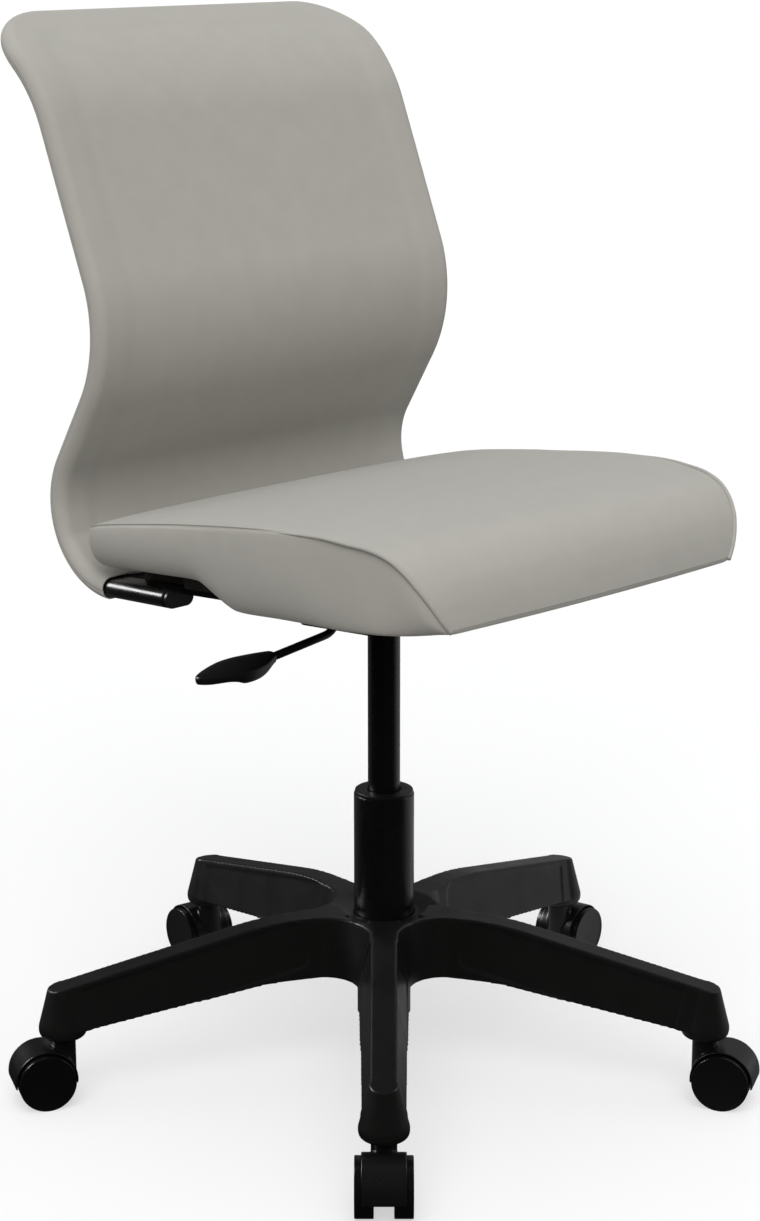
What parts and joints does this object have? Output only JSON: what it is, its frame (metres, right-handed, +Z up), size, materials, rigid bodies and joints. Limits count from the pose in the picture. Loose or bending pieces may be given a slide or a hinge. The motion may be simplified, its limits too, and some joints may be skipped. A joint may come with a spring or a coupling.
{
  "type": "office chair",
  "caption": "Armless swivel office chair with a grey upholstered seat, a curved sleeve back over a bent tube, a gas lift with one lever, and a black star base on twin-wheel casters.",
  "frame": {"origin": "on the floor under the column's axis, midway between the five casters", "axes": "+Z up; the sitter faces -Y; +X is the sitter's left, so the lever is at -X"},
  "size_m": [0.637, 0.637, 0.9059],
  "materials": {
    "black_nylon": "fine moulded grain",
    "black_hood": "smooth moulded, slight sheen",
    "black_wheel": "smooth, glossy tread",
    "black_paint": "semi-gloss powder coat",
    "steel": "bright zinc",
    "plywood": "raw beech plywood",
    "black_cloth": "thin non-woven cloth",
    "grey_upholstery": "tight plain weave, warm light grey",
    "grey_piping": "piping in the seat's cloth",
    "foam": "open-cell foam"
  },
  "bodies": {
    "base": {"star_base": "black_nylon", "caster_stems": "steel", "column_tube": "black_paint", "column_foot": "black_paint", "guide_bush": "black_nylon"},
    "piston_unit": {"piston_rod": "steel", "piston": "steel", "thrust_washer": "steel", "rod_clip": "steel"},
    "seat": {"gas_cylinder": "black_paint", "rod_guide": "steel", "seat_plate": "black_paint", "plate_hub": "black_paint", "lever_bush": "black_nylon", "seat_bolts": "steel", "back_frame": "black_paint", "tube_caps": "black_nylon", "frame_plate": "black_paint", "frame_bolts": "steel", "seat_board": "plywood", "seat_dust_cover": "black_cloth", "seat_cushion": "grey_upholstery", "seat_welt_left": "grey_piping", "seat_welt_right": "grey_piping", "back_cover": "grey_upholstery", "back_pad": "foam"},
    "pin": {"release_pin": "steel"},
    "lever": {"lever_rod": "black_paint", "lever_pin": "steel", "lever_paddle": "black_nylon"},
    "caster_1": {"caster_1_hood": "black_hood", "caster_1_axle": "steel"},
    "wheel_1a": {"caster_1_wheel_a": "black_wheel"},
    "wheel_1b": {"caster_1_wheel_b": "black_wheel"},
    "caster_2": {"caster_2_hood": "black_hood", "caster_2_axle": "steel"},
    "wheel_2a": {"caster_2_wheel_a": "black_wheel"},
    "wheel_2b": {"caster_2_wheel_b": "black_wheel"},
    "caster_3": {"caster_3_hood": "black_hood", "caster_3_axle": "steel"},
    "wheel_3a": {"caster_3_wheel_a": "black_wheel"},
    "wheel_3b": {"caster_3_wheel_b": "black_wheel"},
    "caster_4": {"caster_4_hood": "black_hood", "caster_4_axle": "steel"},
    "wheel_4a": {"caster_4_wheel_a": "black_wheel"},
    "wheel_4b": {"caster_4_wheel_b": "black_wheel"},
    "caster_5": {"caster_5_hood": "black_hood", "caster_5_axle": "steel"},
    "wheel_5a": {"caster_5_wheel_a": "black_wheel"},
    "wheel_5b": {"caster_5_wheel_b": "black_wheel"}
  },
  "joints": [
    {"name": "seat_swivel", "type": "hinge", "parent": "base", "child": "piston_unit", "pos_m": [0, 0, 0.05], "axis": [0, 0, 1], "continuous": true},
    {"name": "seat_lift", "type": "slide", "parent": "piston_unit", "child": "seat", "axis": [0, 0, 1], "range_m": [-0.12, 0]},
    {"name": "lever_tilt", "type": "hinge", "parent": "seat", "child": "lever", "pos_m": [-0.05375, 0, 0.417], "axis": [0, 1, 0], "range_deg": [0, 4.5], "stiffness_Nm_per_rad": 4, "springref_deg": -2.29},
    {"name": "valve_pin", "type": "slide", "parent": "seat", "child": "pin", "axis": [0, 0, 1], "range_m": [-0.0046, 0]},
    {"name": "caster_1_swivel", "type": "hinge", "parent": "base", "child": "caster_1", "pos_m": [-0.20365, -0.20365, 0.048], "axis": [0, 0, 1], "continuous": true},
    {"name": "wheel_1a_spin", "type": "hinge", "parent": "caster_1", "child": "wheel_1a", "pos_m": [-0.20549, -0.22755, 0.0245], "axis": [0.7071, -0.7071, 0], "continuous": true},
    {"name": "wheel_1b_spin", "type": "hinge", "parent": "caster_1", "child": "wheel_1b", "pos_m": [-0.22755, -0.20549, 0.0245], "axis": [0.7071, -0.7071, 0], "continuous": true},
    {"name": "caster_2_swivel", "type": "hinge", "parent": "base", "child": "caster_2", "pos_m": [0.13075, -0.25661, 0.048], "axis": [0, 0, 1], "continuous": true},
    {"name": "wheel_2a_spin", "type": "hinge", "parent": "caster_2", "child": "wheel_2a", "pos_m": [0.15291, -0.26574, 0.0245], "axis": [0.891, 0.454, 0], "continuous": true},
    {"name": "wheel_2b_spin", "type": "hinge", "parent": "caster_2", "child": "wheel_2b", "pos_m": [0.12511, -0.27991, 0.0245], "axis": [0.891, 0.454, 0], "continuous": true},
    {"name": "caster_3_swivel", "type": "hinge", "parent": "base", "child": "caster_3", "pos_m": [0.28445, 0.04505, 0.048], "axis": [0, 0, 1], "continuous": true},
    {"name": "wheel_3a_spin", "type": "hinge", "parent": "caster_3", "child": "wheel_3a", "pos_m": [0.29999, 0.06331, 0.0245], "axis": [-0.1564, 0.9877, 0], "continuous": true},
    {"name": "wheel_3b_spin", "type": "hinge", "parent": "caster_3", "child": "wheel_3b", "pos_m": [0.30487, 0.03249, 0.0245], "axis": [-0.1564, 0.9877, 0], "continuous": true},
    {"name": "caster_4_swivel", "type": "hinge", "parent": "base", "child": "caster_4", "pos_m": [0.04505, 0.28445, 0.048], "axis": [0, 0, 1], "continuous": true},
    {"name": "wheel_4a_spin", "type": "hinge", "parent": "caster_4", "child": "wheel_4a", "pos_m": [0.03249, 0.30487, 0.0245], "axis": [-0.9877, 0.1564, 0], "continuous": true},
    {"name": "wheel_4b_spin", "type": "hinge", "parent": "caster_4", "child": "wheel_4b", "pos_m": [0.06331, 0.29999, 0.0245], "axis": [-0.9877, 0.1564, 0], "continuous": true},
    {"name": "caster_5_swivel", "type": "hinge", "parent": "base", "child": "caster_5", "pos_m": [-0.25661, 0.13075, 0.048], "axis": [0, 0, 1], "continuous": true},
    {"name": "wheel_5a_spin", "type": "hinge", "parent": "caster_5", "child": "wheel_5a", "pos_m": [-0.27991, 0.12511, 0.0245], "axis": [-0.454, -0.891, 0], "continuous": true},
    {"name": "wheel_5b_spin", "type": "hinge", "parent": "caster_5", "child": "wheel_5b", "pos_m": [-0.26574, 0.15291, 0.0245], "axis": [-0.454, -0.891, 0], "continuous": true}
  ],
  "couplings": [
    {"joint": "valve_pin", "follows": "lever_tilt", "m_per_rad": -0.057}
  ]
}
